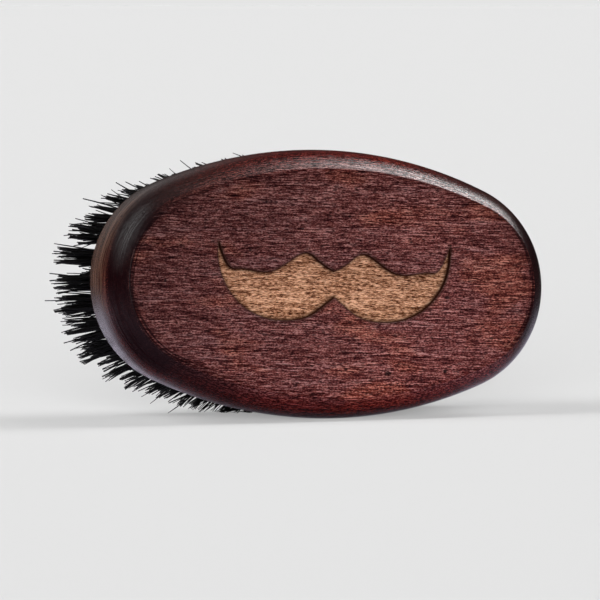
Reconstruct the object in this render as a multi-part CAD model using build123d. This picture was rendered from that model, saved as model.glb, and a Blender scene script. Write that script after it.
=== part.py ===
"""Oval beard brush: a one-piece hardwood block with staple-set tufts of boar bristle.

The brush stands on its long edge and leans back a little, so that the tips of its lowest bristles
touch the surface too. +X runs along its length, +Z is up and +Y is the way the bristles point. The
origin is the middle of the bottom of the bounding box.

Each piece is first drawn in the block's own axes: X along the length, Y in from the flat face, and Z
up from the middle of the block. The last step leans the whole brush back and sets it down.
"""

from build123d import *
import math
import os

# Wood block, in millimetres
BLOCK_LENGTH = 88.0
BLOCK_WIDTH = 50.0
BLOCK_THICKNESS = 13.0
END_RADIUS = 20.0  # of the two ends of the oval
RIM_RADIUS = 9.1  # of the long curve from the face to the side
RIM_INSET = 3.75  # from the side in to the crisp edge of the face
CROWN_RADIUS = 40.0  # of the slightly crowned side behind that curve
BACK_EDGE_RADIUS = 1.0
RIM_DEPTH = 8.0  # of the ring of the block that is turned, in from the side

# Engraved badge on the flat face: a plain moustache, as half an outline from its middle to its tip
BADGE_DEPTH = 0.9
BADGE_TOP = [(0.0, 2.3), (5.6, 5.6), (12.6, 2.0), (18.4, 2.4), (23.0, 7.4)]
BADGE_BOTTOM = [(23.0, 7.4), (20.8, -1.6), (13.6, -6.6), (5.6, -6.4), (0.0, -2.6)]
BADGE_TOP_ENDS = [(1.0, 0.35), (0.35, 1.0)]  # directions of the top edge at its two ends
BADGE_BOTTOM_ENDS = [(0.1, -1.0), (-1.0, 0.75)]

# Bristle tufts and the holes that hold them
BRISTLE_LENGTH = 17.5  # from the back of the block to the trimmed tips
RING_COUNT = 46  # tufts in the outer ring, which follows the outline
ROW_COUNT = 9  # straight rows inside the ring
ROW_PITCH = 3.9
TUFT_PITCH = 4.8
ROOT_INSET = 5.0  # from the side to the axes of the ring's holes, at the back of the block
TIP_INSET = 1.9  # from each end of the block to the axes of the ring's tufts, at their tips
HOLE_RADIUS = 1.4
HOLE_DEPTH = 8.0
HOLE_MOUTH_CHAMFER = 0.25
ROOT_RADIUS = 1.35
TIP_RADIUS = 2.05

# Flat wire anchors, driven across the holes over the folded bristles
ANCHOR_WIDTH = 3.4
ANCHOR_THICKNESS = 0.4
ANCHOR_HEIGHT = 1.8
ANCHOR_LIFT = 0.7  # from the bottom of the hole to the anchor

# Stance
LEAN = 3.5  # degrees that the brush leans back, on to its lowest bristles

# Derived sizes
HALF_LENGTH = BLOCK_LENGTH / 2
HALF_WIDTH = BLOCK_WIDTH / 2
END_CENTRE = HALF_LENGTH - END_RADIUS
SIDE_RADIUS = (END_CENTRE**2 + HALF_WIDTH**2 - END_RADIUS**2) / (2 * (HALF_WIDTH - END_RADIUS))
SIDE_CENTRE = SIDE_RADIUS - HALF_WIDTH
JOIN_ANGLE = math.degrees(math.atan2(SIDE_CENTRE, END_CENTRE))  # where end and side arcs meet
WIDEST_DEPTH = math.sqrt(RIM_RADIUS**2 - (RIM_RADIUS - RIM_INSET) ** 2)
OVERALL_DEPTH = BLOCK_THICKNESS + BRISTLE_LENGTH
MARGIN = 5.0  # how far cutting tools and untrimmed tufts run past what they cut

# The surface under the leaning brush touches the crowned side, and rises to the bristle tips.
TOUCH_DEPTH = WIDEST_DEPTH + CROWN_RADIUS * math.sin(math.radians(LEAN))
TOUCH_INSET = CROWN_RADIUS * (1 - math.cos(math.radians(LEAN)))
TIP_CLEARANCE = TOUCH_INSET + (OVERALL_DEPTH - TOUCH_DEPTH) * math.tan(math.radians(LEAN))
SPREAD_X = (HALF_LENGTH - TIP_INSET) / (HALF_LENGTH - ROOT_INSET)
SPREAD_Z = (HALF_WIDTH - TIP_CLEARANCE - TIP_RADIUS) / (HALF_WIDTH - ROOT_INSET)


def polar(centre, radius, angle):
    """A point on the face plane, from the centre of an arc."""
    x, z = centre
    return x + radius * math.cos(math.radians(angle)), z + radius * math.sin(math.radians(angle))


def oval_arcs():
    """The four arcs of the outline, in order: centre, radius, start angle and angle turned."""
    side_turn = 180 - 2 * JOIN_ANGLE
    return [
        ((END_CENTRE, 0), END_RADIUS, -JOIN_ANGLE, 2 * JOIN_ANGLE),
        ((0, -SIDE_CENTRE), SIDE_RADIUS, JOIN_ANGLE, side_turn),
        ((-END_CENTRE, 0), END_RADIUS, 180 - JOIN_ANGLE, 2 * JOIN_ANGLE),
        ((0, SIDE_CENTRE), SIDE_RADIUS, 180 + JOIN_ANGLE, side_turn),
    ]


def outline(inset):
    """The outline's four arcs, moved in from the side by this much."""
    edges = []
    for centre, radius, start, turn in oval_arcs():
        points = [polar(centre, radius - inset, start + part * turn) for part in (0, 0.5, 1)]
        edges.append(ThreePointArc(*points))
    return edges


def core():
    """The middle of the block, inside the turned rim."""
    return extrude(Plane.XZ * make_face(outline(RIM_DEPTH)), amount=-BLOCK_THICKNESS)


def rim_section(radius):
    """The rim's section, as distance from an arc's axis and depth behind the face."""
    inner = radius - RIM_DEPTH
    crown_angle = math.asin((BLOCK_THICKNESS - WIDEST_DEPTH) / CROWN_RADIUS)
    back = radius - CROWN_RADIUS * (1 - math.cos(crown_angle))
    face_edge = (radius - RIM_INSET, 0)
    widest = (radius, WIDEST_DEPTH)
    corner = (back, BLOCK_THICKNESS)
    section = make_face(
        [
            Polyline(corner, (inner, BLOCK_THICKNESS), (inner, 0), face_edge),
            TangentArc(widest, face_edge, tangent=(0, -1)),
            TangentArc(widest, corner, tangent=(0, 1)),
        ]
    )
    sharp = section.vertices().sort_by_distance((*corner, 0))[0]
    return fillet(sharp, BACK_EDGE_RADIUS)


def rim_sector(centre, radius, start, turn):
    """One arc of the rim, as its section turned about the arc's axis."""
    x, z = centre
    a = math.radians(start)
    plane = Plane(
        origin=(x, 0, z),
        x_dir=(math.cos(a), 0, math.sin(a)),
        z_dir=(-math.sin(a), 0, math.cos(a)),
    )
    return revolve(plane * rim_section(radius), Axis((x, 0, z), (0, -1, 0)), revolution_arc=turn)


def badge():
    """A generic moustache, drawn as one half and its mirror image."""
    top = Spline(BADGE_TOP, tangents=BADGE_TOP_ENDS)
    bottom = Spline(BADGE_BOTTOM, tangents=BADGE_BOTTOM_ENDS)
    half = [top, bottom]
    return make_face(half + [mirror(edge, Plane.YZ) for edge in half])


def hole():
    """A blind hole with a lightly broken mouth, as a cutting tool with its mouth at Z = 0."""
    mouth = HOLE_RADIUS + HOLE_MOUTH_CHAMFER
    profile = Polyline(
        (0, -HOLE_DEPTH),
        (HOLE_RADIUS, -HOLE_DEPTH),
        (HOLE_RADIUS, -HOLE_MOUTH_CHAMFER),
        (mouth, 0),
        (mouth, MARGIN),
        (0, MARGIN),
        close=True,
    )
    return revolve(Plane.XZ * make_face(profile), Axis.Z)


def anchor():
    """A short length of flat wire, a little wider than the hole so that its ends bite the wood."""
    middle = ANCHOR_LIFT + ANCHOR_HEIGHT / 2 - HOLE_DEPTH
    return Pos(0, 0, middle) * Box(ANCHOR_WIDTH, ANCHOR_THICKNESS, ANCHOR_HEIGHT)


def tuft():
    """A bundle folded round its anchor: round in its hole, opening to its still untrimmed tips."""
    growth = (TIP_RADIUS - ROOT_RADIUS) / BRISTLE_LENGTH
    length = BRISTLE_LENGTH + MARGIN
    profile = Polyline(
        (0, -HOLE_DEPTH),
        (ROOT_RADIUS, -HOLE_DEPTH),
        (ROOT_RADIUS, 0),
        (ROOT_RADIUS + growth * length, length),
        (0, length),
        close=True,
    )
    return revolve(Plane.XZ * make_face(profile), Axis.Z) - anchor()


def tuft_plane(x, height):
    """The plane at the mouth of a hole, with Z along the axis of its tuft, which leans outward."""
    axis = (x * (SPREAD_X - 1), BRISTLE_LENGTH, height * (SPREAD_Z - 1))
    return Plane(origin=(x, BLOCK_THICKNESS, height), x_dir=(1, 0, 0), z_dir=axis)


def ring_planes():
    """One plane for each tuft of the outer ring, evenly spaced from the end at +X."""
    arcs = outline(ROOT_INSET)
    ring = Wire(arcs)
    first = arcs[0].length / 2 / ring.length
    points = [ring @ ((first + index / RING_COUNT) % 1) for index in range(RING_COUNT)]
    return [tuft_plane(point.X, point.Y) for point in points]


def half_chord(height):
    """Half the length of the row of holes at this height above or below the middle of the block."""
    inset = ROOT_INSET + ROW_PITCH
    end = END_RADIUS - inset
    side = SIDE_RADIUS - inset
    join = polar((0, -SIDE_CENTRE), side, JOIN_ANGLE)[1]
    if abs(height) <= join:
        return END_CENTRE + math.sqrt(end**2 - height**2)
    return math.sqrt(side**2 - (abs(height) + SIDE_CENTRE) ** 2)


def row_planes(row):
    """One plane for each tuft of a straight row; neighbouring rows are staggered."""
    step = row - (ROW_COUNT - 1) // 2
    height = step * ROW_PITCH
    staggered = step % 2
    reach = half_chord(height)
    pairs = round(reach / TUFT_PITCH + (1 - staggered) / 2)
    count = 2 * pairs + staggered
    return [tuft_plane(reach * (2 * index / (count - 1) - 1), height) for index in range(count)]


def wood_block(planes):
    """The one-piece block: rounded rim, crisp face, engraved badge, and a hole for every tuft."""
    block = core()
    for arc in oval_arcs():
        block += rim_sector(*arc)
    block -= extrude(Plane.XZ * badge(), amount=-BADGE_DEPTH)
    tools = [plane * hole() for plane in planes] + [plane * anchor() for plane in planes]
    return block - tools


def trimmed(shape):
    """The shape cut off level with the bristle tips."""
    room = Box(2 * BLOCK_LENGTH, OVERALL_DEPTH, 2 * BLOCK_WIDTH)
    return shape & (Pos(0, OVERALL_DEPTH / 2, 0) * room)


def stance(shapes):
    """The move that leans the brush back and sets it down, with the origin under its middle."""
    lean = Rot(X=-LEAN)
    box = Compound(children=[lean * shape for shape in shapes]).bounding_box()
    return Pos(0, -box.center().Y, -box.min.Z) * lean


def save(name, shapes):
    """One STEP file for a node, with each of its pieces as a solid."""
    solids = [solid for shape in shapes for solid in shape.solids()]
    whole = Compound(children=solids) if len(solids) > 1 else solids[0]
    whole.label = name
    export_step(whole, os.path.join("parts", name + ".step"))


def main():
    groups = {"ring": ring_planes()}
    for row in range(ROW_COUNT):
        groups[f"row_{row + 1}"] = row_planes(row)
    nodes = {"wood_block": [wood_block([plane for planes in groups.values() for plane in planes])]}
    for group, planes in groups.items():
        nodes["bristle_" + group] = [trimmed(plane * tuft()) for plane in planes]
        nodes["anchor_" + group] = [plane * anchor() for plane in planes]
    place = stance([shape for shapes in nodes.values() for shape in shapes])
    os.makedirs("parts", exist_ok=True)
    for name, shapes in nodes.items():
        save(name, [place * shape for shape in shapes])
    print("tufts:", {group: len(planes) for group, planes in groups.items()})
    print("set down by:", place.position, "leaning", place.orientation)


main()
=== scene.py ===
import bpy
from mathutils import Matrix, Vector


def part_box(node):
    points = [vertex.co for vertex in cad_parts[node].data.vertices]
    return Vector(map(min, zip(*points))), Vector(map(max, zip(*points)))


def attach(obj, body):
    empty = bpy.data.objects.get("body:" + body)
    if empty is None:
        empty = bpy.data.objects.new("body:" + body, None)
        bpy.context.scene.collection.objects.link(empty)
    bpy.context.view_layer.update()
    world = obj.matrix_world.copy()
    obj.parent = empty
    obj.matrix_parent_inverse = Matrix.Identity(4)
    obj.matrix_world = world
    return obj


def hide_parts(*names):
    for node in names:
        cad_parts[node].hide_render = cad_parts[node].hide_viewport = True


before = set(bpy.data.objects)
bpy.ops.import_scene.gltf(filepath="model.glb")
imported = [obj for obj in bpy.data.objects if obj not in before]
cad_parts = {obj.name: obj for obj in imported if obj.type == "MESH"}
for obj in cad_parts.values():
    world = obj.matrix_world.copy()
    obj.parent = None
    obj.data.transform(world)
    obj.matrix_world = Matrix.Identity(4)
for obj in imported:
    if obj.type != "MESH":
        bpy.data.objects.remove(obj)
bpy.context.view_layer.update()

# The looks of an oval beard brush: the stained block, its engraved badge and its bristles.
#
# Shapes are worked out in the block's own axes, in millimetres: X along the length, Y in from the
# flat face and Z up from the middle of the block. to_row() leans them back and sets them down on the
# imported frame, in metres.

import math

import bmesh
import bpy
import numpy as np
from mathutils import Matrix, Vector, noise
from mathutils.geometry import delaunay_2d_cdt

MM = 0.001
LEAN = math.radians(3.5)

# The block, as in the CAD source
HALF_LENGTH = 44.0
HALF_WIDTH = 25.0
THICKNESS = 13.0
END_RADIUS = 20.0
RIM_RADIUS = 9.1
RIM_INSET = 3.75
CROWN_RADIUS = 40.0
BACK_EDGE_RADIUS = 1.0
EDGE_BREAK = 0.22  # radius of the sanded edge of the face
END_CENTRE = HALF_LENGTH - END_RADIUS
SIDE_RADIUS = (END_CENTRE**2 + HALF_WIDTH**2 - END_RADIUS**2) / (2 * (HALF_WIDTH - END_RADIUS))
SIDE_CENTRE = SIDE_RADIUS - HALF_WIDTH
JOIN_ANGLE = math.atan2(SIDE_CENTRE, END_CENTRE)
WIDEST_DEPTH = math.sqrt(RIM_RADIUS**2 - (RIM_RADIUS - RIM_INSET) ** 2)
END_STEPS = 68
SIDE_STEPS = 96
WELD_DISTANCE = 2e-6  # metres
SHARP_ANGLE = math.radians(40)

# The badge and the holes
BADGE_DEPTH = 0.9
BADGE_STEP = 0.25  # between the points of its outline
BADGE_EDGE = 0.07  # how far the worn edge of the recess goes out and down
WALL_LEAN = 0.05  # how far the wall of the recess has come in, just above its foot
FOOT_INSET = 0.13
FOOT_HEIGHT = 0.1
RIDGE_HEIGHT = 0.09  # of the grain that stands up in the floor of the recess
RIDGE_RATE = (0.45, 3.2)  # ridges for each millimetre, along and across the grain
EDGE_BURN = 0.75  # how scorched the wood is, from 0 to 1
FOOT_BURN = 0.85
FACE_SCORCH = 0.16  # how far the scorch fades over the face
FLOOR_SCORCH = 0.28
FINE_BORDER = 1.6  # width of the finer mesh round the badge
FINE_STEP = (0.5, 0.4)
FACE_STEP = (1.0, 0.9)
RIDGE_STEP = (0.34, 0.15)
FINE_CLEAR = 0.22  # how far each mesh's free points stay from the outlines
FACE_CLEAR = 0.5
RIDGE_CLEAR = 0.1
RIDGE_FADE = 0.3  # from the foot of the wall to where the ridges are at their highest
HOLE_RADIUS = 1.4
HOLE_DEPTH = 8.0
HOLE_MOUTH_CHAMFER = 0.25
HOLE_SIDES = 18
HOLE_BARE = 0.6  # how bare of stain the holes are
BACK_RIM = 20.0  # the back is stained like the outer part of the rim

# The bristles
BRISTLES_PER_TUFT = 70
BRISTLE_LENGTH = 17.5
CLUMPS = 9
BRISTLE_SIDES = 4
BRISTLE_SPANS = 6
BRISTLE_RADII = (0.12, 0.19)
BRISTLE_TAPER = 0.45  # the part of its radius that a bristle loses towards its tip
BRISTLE_SEED = 400
ROOT_DEPTH = 1.2  # from the back of the block down to where the bristles start
ROOT_SPREAD = 1.25
TIP_SPREAD = 2.45
CLUMP_PULL = (0.60, 0.97)  # how far a tip has moved towards the middle of its clump
STRAY_SHARE = 0.13  # of the bristles, which stand well out of line
SHORT_SHARE = 0.12  # of the bristles, which are clearly shorter
TIP_SCATTER = 0.16
STRAY_SCATTER = 1.2
LENGTH_RANGE = (0.94, 1.04)  # parts of the full length
SHORT_RANGE = (0.80, 0.95)
BEND = 0.30
WAVE = 0.10
FLARE = 2.6  # how far the bristles at the two ends of the brush have spread
SAG = 3.2  # how far the lowest bristles hang down at their tips
LIFT = 0.9  # how far the highest bristles have spread upward


# ---------------------------------------------------------------- from the block's axes to the row

def lean_back(points):
    """Turns points in the block's axes about X, so that the top of the block goes back."""
    turned = np.array(points, dtype=float)
    y, z = turned[:, 1].copy(), turned[:, 2].copy()
    turned[:, 1] = y * math.cos(LEAN) + z * math.sin(LEAN)
    turned[:, 2] = z * math.cos(LEAN) - y * math.sin(LEAN)
    return turned


def stand_up(points):
    """The reverse of lean_back."""
    turned = np.array(points, dtype=float)
    y, z = turned[:, 1].copy(), turned[:, 2].copy()
    turned[:, 1] = y * math.cos(LEAN) - z * math.sin(LEAN)
    turned[:, 2] = z * math.cos(LEAN) + y * math.sin(LEAN)
    return turned


def outline(inset):
    """Points round the oval, this far in from its side, and the outward direction at each."""
    side_turn = math.pi - 2 * JOIN_ANGLE
    arcs = [
        (END_CENTRE, 0, END_RADIUS, -JOIN_ANGLE, 2 * JOIN_ANGLE, END_STEPS),
        (0, -SIDE_CENTRE, SIDE_RADIUS, JOIN_ANGLE, side_turn, SIDE_STEPS),
        (-END_CENTRE, 0, END_RADIUS, math.pi - JOIN_ANGLE, 2 * JOIN_ANGLE, END_STEPS),
        (0, SIDE_CENTRE, SIDE_RADIUS, math.pi + JOIN_ANGLE, side_turn, SIDE_STEPS),
    ]
    points, directions = [], []
    for x, z, radius, start, turn, steps in arcs:
        angles = start + turn * np.arange(steps) / steps
        out = np.stack([np.cos(angles), np.sin(angles)], axis=1)
        points.append(np.array([x, z]) + (radius - inset) * out)
        directions.append(out)
    return np.concatenate(points), np.concatenate(directions)


def outward_at(flat):
    """The length-wise part of the oval's outward direction nearest to each flat point."""
    points, directions = outline(RIM_INSET)
    gaps = np.linalg.norm(flat[:, None] - points[None], axis=2)
    return directions[np.argmin(gaps, axis=1), 0]


def rim_profile():
    """The rim's section from the face to the back, as (distance in from the side, depth)."""
    section = []
    face_slope = math.asin((RIM_RADIUS - RIM_INSET) / RIM_RADIUS)
    face_start = RIM_INSET + EDGE_BREAK * math.tan(face_slope / 2)
    for a in np.linspace(0, face_slope, 4):
        section.append((face_start - EDGE_BREAK * math.sin(a), EDGE_BREAK * (1 - math.cos(a))))
    first = math.acos((WIDEST_DEPTH - section[-1][1]) / RIM_RADIUS)
    for a in np.linspace(first, math.pi / 2, 18)[1:]:
        section.append((RIM_RADIUS * (1 - math.sin(a)), WIDEST_DEPTH - RIM_RADIUS * math.cos(a)))
    fillet_radius = CROWN_RADIUS - BACK_EDGE_RADIUS
    fillet_depth = THICKNESS - BACK_EDGE_RADIUS
    crown = math.asin((fillet_depth - WIDEST_DEPTH) / fillet_radius)
    fillet_inset = CROWN_RADIUS - fillet_radius * math.cos(crown)
    for a in np.linspace(0, crown, 7)[1:]:
        depth = WIDEST_DEPTH + CROWN_RADIUS * math.sin(a)
        section.append((CROWN_RADIUS * (1 - math.cos(a)), depth))
    for a in np.linspace(crown, math.pi / 2, 7)[1:]:
        inset = fillet_inset - BACK_EDGE_RADIUS * math.cos(a)
        section.append((inset, fillet_depth + BACK_EDGE_RADIUS * math.sin(a)))
    return section


def rim_rings():
    """One ring of points round the block for each point of the rim's section."""
    rings = []
    for inset, depth in rim_profile():
        flat = outline(inset)[0]
        rings.append(np.stack([flat[:, 0], np.full(len(flat), depth), flat[:, 1]], axis=1))
    return rings


def set_down():
    """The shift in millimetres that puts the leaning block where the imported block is."""
    shape = lean_back(np.concatenate(rim_rings()))
    low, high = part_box("wood_block")
    packed = (np.array(low) + np.array(high)) / 2 / MM
    return packed - (shape.min(axis=0) + shape.max(axis=0)) / 2


SHIFT = set_down()


def to_row(points):
    """Points in the block's axes, in millimetres, to the row frame, in metres."""
    return (lean_back(points) + SHIFT) * MM


def from_row(points):
    """Points in the row frame, in metres, to the block's axes, in millimetres."""
    return stand_up(np.array(points) / MM - SHIFT)


def node_points(name):
    """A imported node's vertices in the block's axes, and its triangles."""
    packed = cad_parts[name]
    mesh = packed.data
    points = np.empty(len(mesh.vertices) * 3)
    mesh.vertices.foreach_get("co", points)
    mesh.calc_loop_triangles()
    corners = np.empty(len(mesh.loop_triangles) * 3, dtype=np.int32)
    mesh.loop_triangles.foreach_get("vertices", corners)
    world = np.array(packed.matrix_world)
    placed = points.reshape(-1, 3) @ world[:3, :3].T + world[:3, 3]
    return from_row(placed), corners.reshape(-1, 3)


# ------------------------------------------------------------------------------ the block's mesh

def inside(points, loop):
    """Which of the flat points lie inside a closed loop."""
    x, z = points[:, 0][:, None], points[:, 1][:, None]
    x0, z0 = loop[:, 0][None], loop[:, 1][None]
    x1, z1 = np.roll(loop[:, 0], -1)[None], np.roll(loop[:, 1], -1)[None]
    crosses = (z0 > z) != (z1 > z)
    height = np.where(z1 == z0, 1e-12, z1 - z0)
    return (crosses & (x < (x1 - x0) * (z - z0) / height + x0)).sum(axis=1) % 2 == 1


def distance_to(points, loop):
    """How far each flat point is from a closed loop."""
    start, end = loop, np.roll(loop, -1, axis=0)
    best = np.full(len(points), 1e9)
    for a, b in zip(start, end):
        along = np.clip(((points - a) @ (b - a)) / max((b - a) @ (b - a), 1e-12), 0, 1)
        best = np.minimum(best, np.linalg.norm(points - a - along[:, None] * (b - a), axis=1))
    return best


def fill(loops, extra):
    """Triangles that fill the first loop and leave the others open, through the extra points."""
    edges, points = [], []
    for loop in loops:
        first = len(points)
        points += [Vector(p) for p in loop]
        edges += [(first + i, first + (i + 1) % len(loop)) for i in range(len(loop))]
    points += [Vector(p) for p in extra]
    flat, _, faces, _, _, _ = delaunay_2d_cdt(points, edges, [], 0, 1e-7)
    flat = np.array([tuple(p) for p in flat])
    faces = np.array(faces)
    middles = flat[faces].mean(axis=1)
    keep = inside(middles, np.array(loops[0]))
    for loop in loops[1:]:
        near = np.abs(middles - np.mean(loop, axis=0)).max(axis=1) < np.ptp(loop, axis=0).max()
        keep[near] &= ~inside(middles[near], np.array(loop))
    return flat, faces[keep]


def badge_outline():
    """The badge's outline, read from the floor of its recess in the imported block, evenly spaced."""
    points, triangles = node_points("wood_block")
    on_floor = np.abs(points[:, 1] - BADGE_DEPTH) < 0.01
    floor = triangles[on_floor[triangles].all(axis=1)]
    keys = {}
    index = np.array([keys.setdefault(tuple(p), len(keys)) for p in points.round(3)[:, [0, 2]]])
    places = np.array(list(keys))
    following = {}
    sides = {(a, b) for t in index[floor] for a, b in zip(t, np.roll(t, -1))}
    for a, b in sides:
        if (b, a) not in sides and a != b:
            following[a] = b
    tip = max(following, key=lambda i: places[i][0] + places[i][1])
    loop, at = [], tip
    while not loop or at != tip:
        loop.append(places[at])
        at = following[at]
    loop = np.array(loop + [places[tip]])
    length = np.concatenate([[0], np.cumsum(np.linalg.norm(np.diff(loop, axis=0), axis=1))])
    count = 2 * round(length[-1] / BADGE_STEP / 2)
    even = np.linspace(0, length[-1], count, endpoint=False)
    loop = np.stack([np.interp(even, length, loop[:, i]) for i in (0, 1)], axis=1)
    area = (loop[:, 0] * np.roll(loop[:, 1], -1) - np.roll(loop[:, 0], -1) * loop[:, 1]).sum()
    return loop if area > 0 else loop[::-1]


def grown(loop, amount):
    """A closed loop, moved outward by this much."""
    along = np.roll(loop, -1, axis=0) - np.roll(loop, 1, axis=0)
    out = np.stack([along[:, 1], -along[:, 0]], axis=1)
    return loop + amount * out / np.linalg.norm(out, axis=1)[:, None]


def grid(low, high, step):
    """Points on a grid, with every other row shifted by half a step."""
    x = np.arange(low[0], high[0], step[0])
    z = np.arange(low[1], high[1], step[1])
    xs, zs = np.meshgrid(x, z)
    xs = xs + (np.arange(len(z)) % 2)[:, None] * step[0] / 2
    return np.stack([xs.ravel(), zs.ravel()], axis=1)


class Shell:
    """A mesh put together from rings and filled patches, joined where their points meet."""

    def __init__(self):
        self.points, self.faces, self.values = [], [], []

    def add(self, points, faces, **values):
        first = sum(len(p) for p in self.points)
        self.points.append(np.array(points, dtype=float))
        self.faces += [tuple(int(i) + first for i in face) for face in faces]
        self.values.append((len(points), values))

    def strip(self, ring_a, ring_b, values_a, values_b):
        """Quads between two rings with the same number of points."""
        n = len(ring_a)
        faces = [(i, (i + 1) % n, n + (i + 1) % n, n + i) for i in range(n)]
        both = {k: [values_a[k]] * n + [values_b[k]] * n for k in values_a}
        self.add(np.concatenate([ring_a, ring_b]), faces, **both)

    def build(self, name, attributes):
        """The finished object in the row frame, welded, with its outward faces out."""
        mesh = bpy.data.meshes.new(name)
        mesh.from_pydata(to_row(np.concatenate(self.points)).tolist(), [], self.faces)
        for key in attributes:
            layer = mesh.attributes.new(key, "FLOAT", "POINT")
            data = []
            for count, values in self.values:
                given = values.get(key, 0.0)
                data += list(given) if np.ndim(given) else [given] * count
            layer.data.foreach_set("value", data)
        work = bmesh.new()
        work.from_mesh(mesh)
        bmesh.ops.remove_doubles(work, verts=work.verts, dist=WELD_DISTANCE)
        bmesh.ops.recalc_face_normals(work, faces=work.faces)
        work.to_mesh(mesh)
        work.free()
        mesh.shade_smooth()
        mesh.set_sharp_from_angle(angle=SHARP_ANGLE)
        piece = bpy.data.objects.new(name, mesh)
        bpy.context.scene.collection.objects.link(piece)
        shade = piece.modifiers.new("even_shading", "WEIGHTED_NORMAL")
        shade.keep_sharp = True
        return piece


def at_depth(flat, depth):
    """Flat points put at this depth behind the face."""
    flat = np.array(flat)
    return np.stack([flat[:, 0], np.broadcast_to(depth, len(flat)), flat[:, 1]], axis=1)


def tufts(group):
    """Each tuft of a group as (the middle of its hole's mouth, its axis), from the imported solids."""
    points, triangles = node_points("bristle_" + group)
    keys = {}
    index = np.array([keys.setdefault(tuple(p), len(keys)) for p in points.round(3)])
    places = np.array(list(keys))
    owner = list(range(len(places)))

    def root(i):
        while owner[i] != i:
            owner[i] = owner[owner[i]]
            i = owner[i]
        return i

    for a, b, c in index[triangles].tolist():
        owner[root(a)] = owner[root(b)] = root(c)
    solids = {}
    for i in range(len(places)):
        solids.setdefault(root(i), []).append(places[i])
    found = []
    for solid in solids.values():
        solid = np.array(solid)
        middles = []
        for depth in (solid[:, 1].min(), solid[:, 1].max()):
            disc = solid[np.abs(solid[:, 1] - depth) < 0.5]
            middles.append((disc.min(axis=0) + disc.max(axis=0)) / 2)
        bottom, top = middles
        axis = (top - bottom) / np.linalg.norm(top - bottom)
        found.append((bottom + axis * (THICKNESS - bottom[1]) / axis[1], axis))
    return found


def add_rim(shell):
    """The rounded rim, from the edge of the face round to the back."""
    rings = rim_rings()
    section = np.array(rim_profile())
    run = np.concatenate([[0], np.cumsum(np.linalg.norm(np.diff(section, axis=0), axis=1))])
    ends = np.abs(outline(0)[1][:, 0])
    n = len(ends)
    for k in range(len(rings) - 1):
        faces = [(i, (i + 1) % n, n + (i + 1) % n, n + i) for i in range(n)]
        shell.add(
            np.concatenate([rings[k], rings[k + 1]]),
            faces,
            rim=np.concatenate([np.full(n, run[k]), np.full(n, run[k + 1])]),
            end_grain=np.concatenate([ends, ends]),
        )
    return rings


def add_face(shell, edge, badge):
    """The flat face, open where the badge is cut in, with a scorched edge round the opening."""
    mouth = grown(badge, BADGE_EDGE)
    near = grid(badge.min(axis=0) - FINE_BORDER, badge.max(axis=0) + FINE_BORDER, FINE_STEP)
    gap = distance_to(near, mouth)
    near = near[(gap > FINE_CLEAR) & (gap < FINE_BORDER) & ~inside(near, mouth)]
    wide = grid((-HALF_LENGTH, -HALF_WIDTH), (HALF_LENGTH, HALF_WIDTH), FACE_STEP)
    wide = wide[inside(wide, edge) & ~inside(wide, grown(badge, FINE_BORDER))]
    wide = wide[distance_to(wide, edge) > FACE_CLEAR]
    flat, faces = fill([edge, mouth], np.concatenate([near, wide]))
    scorch = EDGE_BURN * np.exp(-distance_to(flat, mouth) / FACE_SCORCH)
    inward = distance_to(flat, edge)
    ends = np.abs(outward_at(flat))
    shell.add(at_depth(flat, 0.0), faces, burn=scorch, rim=-inward, end_grain=ends)
    return mouth


def add_badge(shell, badge, mouth):
    """The recess: scorched walls, and a floor of bare wood with its grain standing up in ridges."""
    foot = grown(badge, -FOOT_INSET)
    rings = [
        at_depth(mouth, 0.0),
        at_depth(badge, BADGE_EDGE),
        at_depth(grown(badge, -WALL_LEAN), BADGE_DEPTH - FOOT_HEIGHT),
        at_depth(foot, BADGE_DEPTH),
    ]
    burns = (EDGE_BURN, 1.0, 1.0, FOOT_BURN)
    for k in range(len(rings) - 1):
        values = [{"burn": burns[i], "bare": 1.0 if i else 0.0} for i in (k, k + 1)]
        shell.strip(rings[k], rings[k + 1], *values)
    dots = grid(badge.min(axis=0), badge.max(axis=0), RIDGE_STEP)
    dots = dots[inside(dots, foot)]
    dots = dots[distance_to(dots, foot) > RIDGE_CLEAR]
    flat, faces = fill([foot], dots)
    gap = distance_to(flat, foot)
    along, across = RIDGE_RATE
    ridge = np.array([noise.noise(Vector((x * along, z * across, 3.0))) for x, z in flat])
    depth = BADGE_DEPTH - RIDGE_HEIGHT * ridge * np.clip(gap / RIDGE_FADE, 0, 1)
    burn = FOOT_BURN * np.exp(-gap / FLOOR_SCORCH)
    shell.add(at_depth(flat, depth), faces, burn=burn, bare=1.0)


def add_back(shell, edge):
    """The back, with a hole for each tuft, and the holes themselves."""
    turn = np.linspace(0, 2 * math.pi, HOLE_SIDES, endpoint=False)
    mouths = []
    for group in GROUPS:
        for middle, axis in tufts(group):
            side = np.cross(axis, (0, 0, 1))
            side /= np.linalg.norm(side)
            up = np.cross(side, axis)
            circle = np.cos(turn)[:, None] * side + np.sin(turn)[:, None] * up
            mouth = middle + (HOLE_RADIUS + HOLE_MOUTH_CHAMFER) * circle
            mouth += axis * ((THICKNESS - mouth[:, 1]) / axis[1])[:, None]
            throat = middle + HOLE_RADIUS * circle - axis * HOLE_MOUTH_CHAMFER
            bottom = middle + HOLE_RADIUS * circle - axis * HOLE_DEPTH
            shell.strip(mouth, throat, {"bare": HOLE_BARE}, {"bare": HOLE_BARE})
            shell.strip(throat, bottom, {"bare": HOLE_BARE}, {"bare": HOLE_BARE})
            centre = middle - axis * HOLE_DEPTH
            fan = [(i, (i + 1) % HOLE_SIDES, HOLE_SIDES) for i in range(HOLE_SIDES)]
            shell.add(np.concatenate([bottom, [centre]]), fan, bare=HOLE_BARE)
            mouths.append(mouth[:, [0, 2]])
    flat, faces = fill([edge] + mouths, np.zeros((0, 2)))
    shell.add(at_depth(flat, THICKNESS), faces, rim=BACK_RIM)


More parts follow.
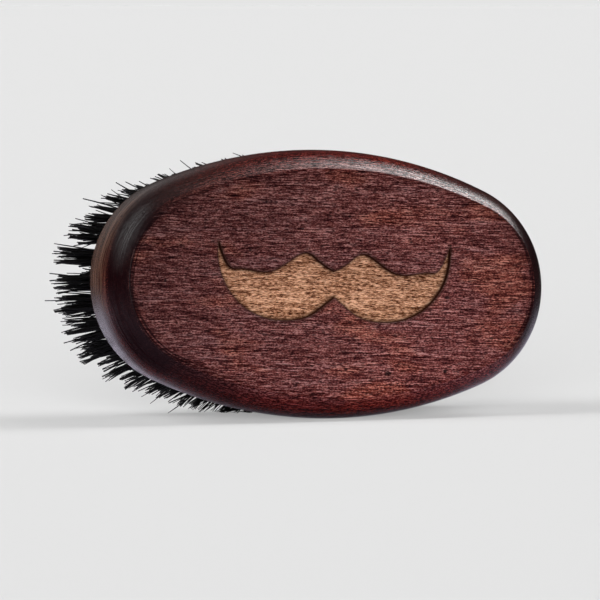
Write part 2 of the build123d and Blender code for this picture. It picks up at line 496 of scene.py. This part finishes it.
def make_block():
    """The one-piece block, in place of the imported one."""
    shell = Shell()
    rings = add_rim(shell)
    badge = badge_outline()
    mouth = add_face(shell, rings[0][:, [0, 2]], badge)
    add_badge(shell, badge, mouth)
    add_back(shell, rings[-1][:, [0, 2]])
    return shell.build("stained_block", ("rim", "end_grain", "burn", "bare"))


# --------------------------------------------------------------------------------- the bristles

def bristle_lines(middle, axis, rng):
    """The centre lines and radii of one tuft's bristles, and two directions across the tuft."""
    n = BRISTLES_PER_TUFT
    side = np.cross(axis, (0, 0, 1))
    side /= np.linalg.norm(side)
    up = np.cross(side, axis)
    spread = np.sqrt(rng.random(n))
    turn = rng.random(n) * 2 * math.pi
    root = np.stack([np.cos(turn), np.sin(turn)], axis=1) * spread[:, None]
    turn = rng.random(CLUMPS) * 2 * math.pi
    reach = np.sqrt(rng.random(CLUMPS))[:, None]
    clumps = np.stack([np.cos(turn), np.sin(turn)], axis=1) * reach
    nearest = np.argmin(np.linalg.norm(root[:, None] - clumps[None], axis=2), axis=1)
    pull = rng.uniform(*CLUMP_PULL, n)[:, None]
    tip = TIP_SPREAD * (root * (1 - pull) + clumps[nearest] * pull)
    stray = rng.random(n) < STRAY_SHARE
    scatter = rng.normal(0, TIP_SCATTER, (n, 2))
    tip += scatter + stray[:, None] * rng.normal(0, STRAY_SCATTER, (n, 2))
    length = BRISTLE_LENGTH * rng.uniform(*LENGTH_RANGE, n)
    length[rng.random(n) < SHORT_SHARE] *= rng.uniform(*SHORT_RANGE)
    bend = rng.normal(0, BEND, (n, 2))
    wave = rng.normal(0, WAVE, (n, 2))
    phase = rng.random(n) * 2 * math.pi
    t = np.linspace(0, 1, BRISTLE_SPANS + 1)
    ease = t**1.25
    across = (
        ROOT_SPREAD * root[:, None] * (1 - ease)[None, :, None]
        + tip[:, None] * ease[None, :, None]
        + bend[:, None] * np.sin(math.pi * t)[None, :, None] * t[None, :, None]
        + wave[:, None] * (np.sin(7 * t[None] + phase[:, None]) * t[None])[:, :, None]
    )
    along = -ROOT_DEPTH + (length[:, None] + ROOT_DEPTH) * t[None]
    droop = 1 - 0.9 * max(0.0, middle[2] / HALF_WIDTH)
    flare = FLARE * droop * (middle[0] / HALF_LENGTH) ** 3 * t**2
    rise = (SAG if middle[2] < 0 else LIFT) * middle[2] / HALF_WIDTH * t**2
    lines = (
        middle
        + axis * along[:, :, None]
        + side * across[:, :, :1]
        + up * across[:, :, 1:]
        + np.array([1, 0, 0]) * flare[None, :, None]
        + np.array([0, 0, 1]) * rise[None, :, None]
    )
    radii = rng.uniform(*BRISTLE_RADII, n)[:, None] * (1 - BRISTLE_TAPER * t[None] ** 2)
    return lines, radii, side, up


def make_bristles(group):
    """One group of tufts as separate tapered bristles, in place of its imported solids."""
    rng = np.random.default_rng(BRISTLE_SEED + GROUPS.index(group))
    turn = np.linspace(0, 2 * math.pi, BRISTLE_SIDES, endpoint=False)
    points, faces, tones, runs = [], [], [], []
    first = 0
    ring = BRISTLE_SIDES
    for middle, axis in tufts(group):
        lines, radii, side, up = bristle_lines(middle, axis, rng)
        around = np.cos(turn)[:, None] * side + np.sin(turn)[:, None] * up
        tube = lines[:, :, None] + radii[:, :, None, None] * around[None, None]
        count, rings = tube.shape[:2]
        points.append(tube.reshape(-1, 3))
        tones.append(np.repeat(rng.random(count), rings * ring))
        runs.append(np.tile(np.repeat(np.linspace(0, 1, rings), ring), count))
        for b in range(count):
            start = first + b * rings * ring
            for k in range(rings - 1):
                a = start + k * ring
                faces += [
                    (a + i, a + (i + 1) % ring, a + ring + (i + 1) % ring, a + ring + i)
                    for i in range(ring)
                ]
            faces.append(tuple(start + i for i in reversed(range(ring))))
            faces.append(tuple(start + (rings - 1) * ring + i for i in range(ring)))
        first += count * rings * ring
    placed = rest_on_floor(to_row(np.concatenate(points)))
    mesh = bpy.data.meshes.new("bristles_" + group)
    mesh.from_pydata(placed.tolist(), [], faces)
    for key, data in (("tone", tones), ("run", runs)):
        layer = mesh.attributes.new(key, "FLOAT", "POINT")
        layer.data.foreach_set("value", np.concatenate(data))
    mesh.shade_smooth()
    piece = bpy.data.objects.new("bristles_" + group, mesh)
    bpy.context.scene.collection.objects.link(piece)
    return piece


# ------------------------------------------------------------------------------------ the stage

FLOOR_NEAR_TONE = (0.60, 0.58, 0.70, 1.0)  # as the brush is lit by it and reflects it
FLOOR_FAR_TONE = (0.07, 0.07, 0.07, 1.0)
FLOOR_REACH = (0.08, 0.22)  # metres from the brush, over which it goes from near to far
FLOOR_SEEN_TONE = 0.289  # as the camera sees it
FLOOR_GLOW = 0.30  # added for the camera alone, so that shadows are light
FLOOR_SIZE = 60.0  # metres from its middle to each side
FLOOR_RISE = math.radians(2.3)  # the brush has rocked a little on its curved edge
REST_GAP = 0.0001  # metres between the floor and the bristles that lie on it


def floor_normal():
    """The direction straight up from the sloping floor."""
    return np.array([-math.sin(FLOOR_RISE), 0.0, math.cos(FLOOR_RISE)])


def floor_height():
    """How far the floor is along its normal, where it touches the block."""
    return (to_row(np.concatenate(rim_rings())) @ floor_normal()).min()


def rest_on_floor(points):
    """Points lifted to the floor where they would go through it."""
    under = FLOOR_AT + REST_GAP - points @ floor_normal()
    return points + np.clip(under, 0, None)[:, None] * floor_normal()


FLOOR_AT = floor_height()
GROUPS = sorted(name[len("bristle_"):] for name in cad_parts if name.startswith("bristle_"))


# -------------------------------------------------------------------------------- the materials

class Graph:
    """A short way to write a material's nodes."""

    def __init__(self, tree):
        self.tree = tree
        tree.nodes.clear()

    def node(self, kind, inputs=None, **settings):
        made = self.tree.nodes.new(kind)
        for key, value in settings.items():
            setattr(made, key, value)
        for key, value in (inputs or {}).items():
            self.put(made.inputs[key], value)
        return made

    def put(self, socket, value):
        if isinstance(value, bpy.types.NodeSocket):
            self.tree.links.new(value, socket)
        elif isinstance(value, bpy.types.Node):
            self.tree.links.new(value.outputs[0], socket)
        else:
            socket.default_value = value

    def math(self, operation, a, b=0.0, clamp=False):
        return self.node("ShaderNodeMath", {0: a, 1: b}, operation=operation, use_clamp=clamp)

    def plus(self, a, b, clamp=False):
        return self.math("ADD", a, b, clamp)

    def minus(self, a, b):
        return self.math("SUBTRACT", a, b)

    def times(self, a, b):
        return self.math("MULTIPLY", a, b)

    def rest(self, a):
        """What is left of 1."""
        return self.math("SUBTRACT", 1.0, a)

    def map_range(self, value, low, high, to_low=0.0, to_high=1.0):
        """Straight from one pair of values to another, and held at both."""
        inputs = {"Value": value, "From Min": low, "From Max": high}
        inputs.update({"To Min": to_low, "To Max": to_high})
        return self.node("ShaderNodeMapRange", inputs)

    def ramp(self, value, low, high):
        """0 below low, 1 above high, smooth between."""
        inputs = {"Value": value, "From Min": low, "From Max": high}
        return self.node("ShaderNodeMapRange", inputs, interpolation_type="SMOOTHSTEP")

    def mix(self, factor, a, b, blend="MIX"):
        made = self.node("ShaderNodeMix", data_type="RGBA", blend_type=blend)
        self.put(made.inputs[0], factor)
        self.put(made.inputs[6], a)
        self.put(made.inputs[7], b)
        return made.outputs[2]

    def noise(self, vector, detail=2.0, roughness=0.5, distortion=0.0):
        inputs = {"Vector": vector, "Scale": 1.0, "Detail": detail, "Roughness": roughness}
        inputs["Distortion"] = distortion
        return self.node("ShaderNodeTexNoise", inputs).outputs["Fac"]

    def colours(self, value, *stops):
        """A colour ramp, with its stops as (position, red, green, blue)."""
        made = self.node("ShaderNodeValToRGB", {"Fac": value})
        ramp = made.color_ramp
        for _ in range(len(stops) - 2):
            ramp.elements.new(0.5)
        for element, (position, *colour) in zip(ramp.elements, stops):
            element.position = position
            element.color = (*colour, 1.0)
        return made.outputs["Color"]

    def attribute(self, name):
        return self.node("ShaderNodeAttribute", attribute_name=name).outputs["Fac"]

    def scaled(self, vector, x, y, z):
        """A position in metres, as steps of x, y and z millimetres."""
        factors = (1 / (x * MM), 1 / (y * MM), 1 / (z * MM))
        return self.node("ShaderNodeVectorMath", {0: vector, 1: factors}, operation="MULTIPLY")


def new_material(name):
    material = bpy.data.materials.new(name)
    material.use_nodes = True
    return material, Graph(material.node_tree)


def rgb(red, green, blue):
    return (red, green, blue, 1.0)


WHITE = rgb(1, 1, 1)
PORE = rgb(0.012, 0.0045, 0.0055)
# Partly darker stain, partly painted shade, for the upper rim at the ends
UPPER_RIM_STAIN_AND_SHADE = rgb(0.0090, 0.0040, 0.0035)
# Near black: stain soaked into the end grain, and painted shade
SOAK_AND_SHADE = rgb(0.0045, 0.0012, 0.0018)
SIDE_DARK = rgb(0.014, 0.0045, 0.0030)
# Pale streaks on the side of the ends: sanded end grain and painted reflection
SIDE_SANDED_AND_SHEEN = rgb(0.130, 0.064, 0.041)
SIDE_LOW = rgb(0.020, 0.008, 0.008)
PIN_KNOT = rgb(0.006, 0.003, 0.003)
BARE_PORE = rgb(0.060, 0.018, 0.009)
SCORCHED = rgb(0.022, 0.0075, 0.0045)

# Colours from the dark to the pale parts of the grain, as (position, red, green, blue); the palest,
# pinkish stop is partly painted sheen, the glints off the fibres
STAIN_AND_SHEEN = (
    (0.00, 0.012, 0.0030, 0.0038),
    (0.30, 0.056, 0.0120, 0.0115),
    (0.62, 0.180, 0.0440, 0.0360),
    (1.00, 0.470, 0.2280, 0.2020),
)
BARE = (
    (0.00, 0.045, 0.013, 0.007),
    (0.24, 0.200, 0.076, 0.034),
    (0.52, 0.440, 0.210, 0.110),
    (1.00, 0.800, 0.470, 0.290),
)


class Grain:
    """The patterns that the wood's colour, height and gloss are made from."""

    def __init__(self, g, place):
        self.fibres = g.noise(g.scaled(place, 3.0, 0.17, 0.17), detail=2, roughness=0.7)
        self.specks = g.noise(g.scaled(place, 0.36, 0.16, 0.16), detail=1)
        self.streaks = g.noise(g.scaled(place, 9.0, 0.32, 0.32), detail=2, roughness=0.6)
        self.bands = g.noise(g.scaled(place, 22, 1.3, 1.3), detail=3, roughness=0.6)
        self.patches = g.noise(g.scaled(place, 16, 6, 6), detail=2)
        self.pores = g.ramp(g.noise(g.scaled(place, 0.9, 0.17, 0.17), detail=0), 0.57, 0.68)
        self.pins = g.ramp(g.noise(g.scaled(place, 1.8, 1.2, 1.2), detail=0), 0.815, 0.85)
        mixed = g.plus(g.times(self.fibres, 0.48), g.times(self.streaks, 0.14))
        mixed = g.plus(mixed, g.times(self.bands, 0.10))
        self.mixed = g.plus(mixed, g.times(self.specks, 0.28))


class RimZones:
    """The parts of the rim coloured differently, from 0 to 1: by stain and sanding, and by painted
    shade and painted reflection.

    x and z are metres in the row frame. rim is how far round from the edge of the face a point is,
    in millimetres, and below 0 on the face. ends is 1 where the wood shows its end grain.
    """

    def __init__(self, g, place, x, z):
        rim, ends = g.attribute("rim"), g.attribute("end_grain")
        self.on_rim = g.ramp(rim, -2.2, 2.4)

        # Sanding marks, drawn out along the rim
        across = g.node("ShaderNodeCombineXYZ", {"X": g.times(rim, 4.0)})
        slow = g.scaled(place, 9, 9, 9)
        marks = g.node("ShaderNodeVectorMath", {0: across, 1: slow}, operation="ADD")
        self.sanding = g.noise(marks, detail=4, roughness=0.65)

        # End grain beside the face, darker: partly soaked with stain, partly painted shade; and
        # farther along the rim at one end, more so low down, as painted shade
        uneven = g.plus(rim, g.times(g.minus(self.sanding, 0.5), 5.0))
        near_face = g.rest(g.ramp(uneven, 4.0, 7.0))
        farther = g.rest(g.ramp(x, -0.02, 0.0))
        farther = g.times(farther, g.minus(0.45, g.times(g.ramp(z, 0.014, 0.034), 0.35)))
        spread = g.ramp(g.plus(ends, farther), 0.45, 0.95)
        spread = g.times(g.ramp(uneven, -1.0, -0.1), spread)
        self.soak_and_shade = g.times(spread, near_face)

        # The upper rim, away from the middle of the brush, made darker: partly darker stain, partly
        # painted shade
        upper = g.times(g.ramp(z, 0.026, 0.036), g.ramp(ends, 0.08, 0.45))
        self.upper = g.times(upper, self.on_rim)

        # The side of the two ends, pale and streaky: partly sanded end grain, partly painted
        # reflection; and the part of it low down, made darker
        end_on = g.times(g.ramp(rim, -1.0, 0.8), g.ramp(ends, 0.45, 0.95))
        self.side = g.times(end_on, g.ramp(rim, 4.8, 7.5))
        self.low = g.rest(g.ramp(z, 0.016, 0.025))


def stained_colour(g, grain, zones, x, z):
    """Red-brown stain over the grain, with dark pores, darker on the rim, and with painted shade,
    sheen and reflection in places.
    """
    level = g.map_range(grain.mixed, 0.405, 0.595)
    # Grain colours, whose palest stop is partly painted sheen
    base = g.colours(level, *STAIN_AND_SHEEN)
    purple = g.mix(g.ramp(grain.bands, 0.50, 0.66), WHITE, rgb(0.55, 0.60, 0.72))
    orange = g.mix(g.ramp(grain.patches, 0.50, 0.64), WHITE, rgb(1.22, 1.08, 0.84))
    base = g.mix(0.4, base, purple, "MULTIPLY")
    base = g.mix(0.9, base, orange, "MULTIPLY")
    base = g.mix(g.times(grain.pores, 0.80), base, PORE)

    # Lighter to the right of the middle and low on the block.
    along = g.math("MINIMUM", x, g.minus(0.042, x))
    tone_slope = g.minus(g.times(along, 11.0), g.times(z, 9.0))
    tone_slope = g.plus(tone_slope, g.times(grain.patches, 0.3))
    tone_shift = g.map_range(tone_slope, -0.6, 0.5, 0.50, 1.24)
    tone_shift = g.node("ShaderNodeCombineColor", {0: tone_shift, 1: tone_shift, 2: tone_shift})
    base = g.mix(1.0, base, tone_shift, "MULTIPLY")

    base = g.mix(zones.on_rim, base, rgb(0.54, 0.20, 0.185), "MULTIPLY")
    # Painted shade, with some darker stain, on the upper rim at the ends
    base = g.mix(g.times(zones.upper, 0.80), base, UPPER_RIM_STAIN_AND_SHADE)
    # Dark end grain beside the face: partly stain, partly painted shade
    base = g.mix(g.times(zones.soak_and_shade, 0.92), base, SOAK_AND_SHADE)
    # Pale streaky side of the ends: partly sanded end grain, partly painted reflection
    side = g.mix(g.ramp(zones.sanding, 0.42, 0.58), SIDE_DARK, SIDE_SANDED_AND_SHEEN)
    side = g.mix(g.times(zones.low, 0.75), side, SIDE_LOW)
    base = g.mix(g.times(zones.side, 0.88), base, side)
    return g.mix(g.times(grain.pins, 0.85), base, PIN_KNOT)


def bare_colour(g, grain, place):
    """Bare tan wood, as the floor of the badge shows it, with dark dashes along the grain."""
    threads = g.noise(g.scaled(place, 0.9, 0.15, 0.15), detail=2, roughness=0.8)
    waves = g.noise(g.scaled(place, 4.0, 0.45, 0.45), detail=2, roughness=0.6)
    tone = g.map_range(g.plus(g.times(threads, 0.65), g.times(waves, 0.35)), 0.41, 0.60)
    return g.mix(g.times(grain.pores, 0.65), g.colours(tone, *BARE), BARE_PORE)


def wood_gloss(g, grain, zones, bare, z):
    """How strongly the thin lacquer shines: more on the rim, less in pores and worn places."""
    gloss = g.plus(g.times(zones.on_rim, 0.35), g.ramp(grain.mixed, 0.36, 0.66))
    gloss = g.times(gloss, g.minus(0.44, g.times(grain.pores, 0.30)))
    gloss = g.times(gloss, g.rest(g.times(zones.side, 0.65)))
    gloss = g.times(gloss, g.rest(g.times(zones.soak_and_shade, 0.70)))
    gloss = g.times(gloss, g.rest(bare))
    streaky = g.plus(0.55, g.times(g.ramp(zones.sanding, 0.38, 0.62), 0.90))
    gloss = g.times(gloss, g.node("ShaderNodeMix", {0: zones.on_rim, 2: 1.0, 3: streaky}))
    gloss = g.times(gloss, g.plus(0.30, g.times(g.ramp(z, 0.003, 0.020), 0.70)))
    return g.plus(gloss, g.times(g.times(zones.side, zones.low), 0.20))


def wood_material():
    """Stained and lacquered hardwood, with bare scorched wood where the badge is cut in."""
    material, g = new_material("stained_wood")
    place = g.node("ShaderNodeTexCoord").outputs["Object"]
    x, _, z = g.node("ShaderNodeSeparateXYZ", {"Vector": place}).outputs
    burn, bare = g.attribute("burn"), g.attribute("bare")
    grain = Grain(g, place)
    zones = RimZones(g, place, x, z)

    base = g.mix(bare, stained_colour(g, grain, zones, x, z), bare_colour(g, grain, place))
    base = g.mix(burn, base, SCORCHED)

    height = g.plus(g.times(grain.fibres, 0.6), g.times(grain.streaks, 0.4))
    sanded = g.plus(g.times(zones.sanding, 0.4), g.times(grain.specks, 0.5))
    height = g.plus(height, g.times(sanded, zones.on_rim))
    bump = g.node("ShaderNodeBump", {"Strength": 0.6, "Distance": 0.00010, "Height": height})

    rough = g.plus(0.22, g.times(grain.fibres, 0.20))
    rough = g.minus(rough, g.times(zones.on_rim, 0.15))
    rough = g.plus(rough, g.times(bare, 0.35), clamp=True)
    shader = g.node(
        "ShaderNodeBsdfPrincipled",
        {
            "Base Color": base,
            "Roughness": rough,
            "Specular IOR Level": wood_gloss(g, grain, zones, bare, z),
            "Normal": bump,
        },
    )
    g.node("ShaderNodeOutputMaterial", {"Surface": shader})
    return material


def bristle_material():
    """Nearly black natural bristle, a little browner and duller towards its tip."""
    material, g = new_material("boar_bristle")
    tone, run = g.attribute("tone"), g.attribute("run")
    tint = g.mix(tone, rgb(0.0004, 0.0004, 0.0004), rgb(0.0018, 0.0013, 0.0011))
    tint = g.mix(g.times(g.ramp(run, 0.7, 1.0), 0.3), tint, rgb(0.005, 0.0035, 0.003))
    place = g.node("ShaderNodeTexCoord").outputs["Object"]
    scale = g.noise(g.scaled(place, 0.3, 1.2, 0.3), detail=1)
    rough = g.plus(0.42, g.times(scale, 0.2))
    shader = g.node(
        "ShaderNodeBsdfPrincipled",
        {"Base Color": tint, "Roughness": rough, "Specular IOR Level": 0.04},
    )
    g.node("ShaderNodeOutputMaterial", {"Surface": shader})
    return material


def wire_material():
    """Drawn steel wire for the anchors inside the block."""
    material, g = new_material("anchor_wire")
    place = g.node("ShaderNodeTexCoord").outputs["Object"]
    lines = g.noise(g.scaled(place, 2.0, 0.05, 0.05), detail=2)
    tint = g.mix(lines, rgb(0.42, 0.40, 0.37), rgb(0.62, 0.60, 0.57))
    rough = g.plus(0.25, g.times(lines, 0.25))
    shader = g.node(
        "ShaderNodeBsdfPrincipled", {"Base Color": tint, "Roughness": rough, "Metallic": 1.0}
    )
    g.node("ShaderNodeOutputMaterial", {"Surface": shader})
    return material


def floor_material():
    """Plain pale matt paper, with one tone for the camera and others for the light it gives."""
    material, g = new_material("floor_paper")
    seen = g.node("ShaderNodeLightPath").outputs["Is Camera Ray"]
    place = g.node("ShaderNodeTexCoord").outputs["Object"]
    reach = g.node("ShaderNodeVectorMath", {0: place}, operation="LENGTH").outputs["Value"]
    tone = g.mix(g.ramp(reach, *FLOOR_REACH), FLOOR_NEAR_TONE, FLOOR_FAR_TONE)
    tone = g.mix(seen, tone, rgb(*[FLOOR_SEEN_TONE] * 3))
    paper = g.node("ShaderNodeBsdfDiffuse", {"Color": tone, "Roughness": 1.0})
    light = g.node("ShaderNodeEmission", {"Strength": g.times(seen, FLOOR_GLOW)})
    both = g.node("ShaderNodeAddShader", {0: paper, 1: light})
    g.node("ShaderNodeOutputMaterial", {"Surface": both})
    return material


def make_floor():
    """A wide plain floor, touching the block."""
    mesh = bpy.data.meshes.new("floor")
    far = FLOOR_SIZE
    corners = [(-far, -far, 0), (far, -far, 0), (far, far, 0), (-far, far, 0)]
    mesh.from_pydata(corners, [], [(0, 1, 2, 3)])
    floor = bpy.data.objects.new("floor", mesh)
    bpy.context.scene.collection.objects.link(floor)
    floor.location = floor_normal() * FLOOR_AT
    floor.rotation_euler = (0, -FLOOR_RISE, 0)
    mesh.materials.append(floor_material())


# ------------------------------------------------------------------------------ light and camera

BACKGROUND = 0.791  # as the camera sees it
AMBIENT = 0.03
OVERHEAD = 16.7  # strength of the soft box overhead
OVERHEAD_TAIL = 0.03  # the part of that strength that its left end has

# The small soft boxes: the way to each, the cosines at which it is full and gone, its strength
SMALL_BOXES = [
    ((-0.36, -0.93, 0.12), 0.985, 0.93, 9.0),  # in front, to the left
    ((0.55, -0.82, 0.10), 0.95, 0.70, 0.2),  # in front, to the right
    ((-0.77, -0.02, 0.64), 0.985, 0.93, 8.0),  # high on the left
    ((-0.20, 0.84, 0.50), 0.98, 0.86, 0.5),  # high behind
]

CAMERA_YAW = math.radians(21.0)
CAMERA_PITCH = math.radians(-0.6)
CAMERA_ROLL = math.radians(-1.0)
CAMERA_DISTANCE = 1017.5
CAMERA_LENS = 330.0
OFF_MIDDLE = (6.47, 3.04)  # how far the brush is right of and above the picture's middle


def make_world():
    """A dark studio with a soft box overhead, most of it to the right, and four small ones."""
    world = bpy.data.worlds.new("studio")
    bpy.context.scene.world = world
    world.use_nodes = True
    g = Graph(world.node_tree)
    direction = g.node("ShaderNodeTexCoord").outputs["Generated"]
    axes = g.node("ShaderNodeSeparateXYZ", {"Vector": direction})
    x, y, z = axes.outputs
    above = g.ramp(z, 0.15, 0.3)
    height = g.math("MAXIMUM", z, 0.05)
    # Where a direction meets a level ceiling one unit up: u to the right and v to the back
    u, v = g.math("DIVIDE", x, height), g.math("DIVIDE", y, height)
    mask = g.plus(OVERHEAD_TAIL, g.times(g.ramp(u, 0.10, 0.85), 1 - OVERHEAD_TAIL))
    mask = g.times(mask, g.rest(g.ramp(u, 1.6, 2.2)))
    mask = g.times(mask, g.ramp(v, -0.34, -0.20))
    mask = g.times(mask, g.rest(g.ramp(v, 0.18, 0.34)))
    total = g.plus(g.times(g.times(mask, above), OVERHEAD), AMBIENT)
    for towards, full, gone, strength in SMALL_BOXES:
        aim = tuple(Vector(towards).normalized())
        facing = g.node("ShaderNodeVectorMath", {0: direction, 1: aim}, operation="DOT_PRODUCT")
        total = g.plus(total, g.times(g.ramp(facing.outputs["Value"], gone, full), strength))
    seen = g.node("ShaderNodeLightPath").outputs["Is Camera Ray"]
    strength = g.node("ShaderNodeMix", {0: seen, 2: total, 3: BACKGROUND}, data_type="FLOAT")
    back = g.node("ShaderNodeBackground", {"Color": WHITE, "Strength": strength})
    g.node("ShaderNodeOutputWorld", {"Surface": back})


def make_camera():
    """A long lens that looks at the face from the left, from just above the level."""
    yaw, pitch, roll = CAMERA_YAW, CAMERA_PITCH, CAMERA_ROLL
    right = np.array(
        [
            math.cos(roll) * math.cos(yaw),
            -math.sin(yaw),
            -math.sin(roll) * math.cos(yaw),
        ]
    )
    forward = np.array(
        [
            math.cos(roll) * math.sin(yaw) * math.cos(pitch) - math.sin(roll) * math.sin(pitch),
            math.cos(yaw) * math.cos(pitch),
            -math.cos(roll) * math.sin(pitch) - math.sin(roll) * math.sin(yaw) * math.cos(pitch),
        ]
    )
    up = np.cross(right, forward)
    place = -forward * CAMERA_DISTANCE - right * OFF_MIDDLE[0] - up * OFF_MIDDLE[1]
    data = bpy.data.cameras.new("camera")
    data.sensor_width = 36.0
    data.lens = CAMERA_LENS
    data.clip_start, data.clip_end = 0.05, 200.0
    camera = bpy.data.objects.new("camera", data)
    bpy.context.scene.collection.objects.link(camera)
    turned = lean_back(np.array([right, up, -forward]))
    camera.matrix_world = Matrix.Translation(to_row([place])[0]) @ Matrix(turned.T).to_4x4()
    bpy.context.scene.camera = camera


def main():
    make_camera()
    make_world()
    make_floor()
    bpy.context.scene.view_settings.view_transform = "Standard"
    block = make_block()
    block.data.materials.append(wood_material())
    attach(block, "root")
    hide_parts("wood_block")
    bristle = bristle_material()
    wire = wire_material()
    for group in GROUPS:
        tuft_bed = make_bristles(group)
        tuft_bed.data.materials.append(bristle)
        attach(tuft_bed, "root")
        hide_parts("bristle_" + group)
        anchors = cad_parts["anchor_" + group]
        for place in anchors.material_slots:
            place.material = wire


main()
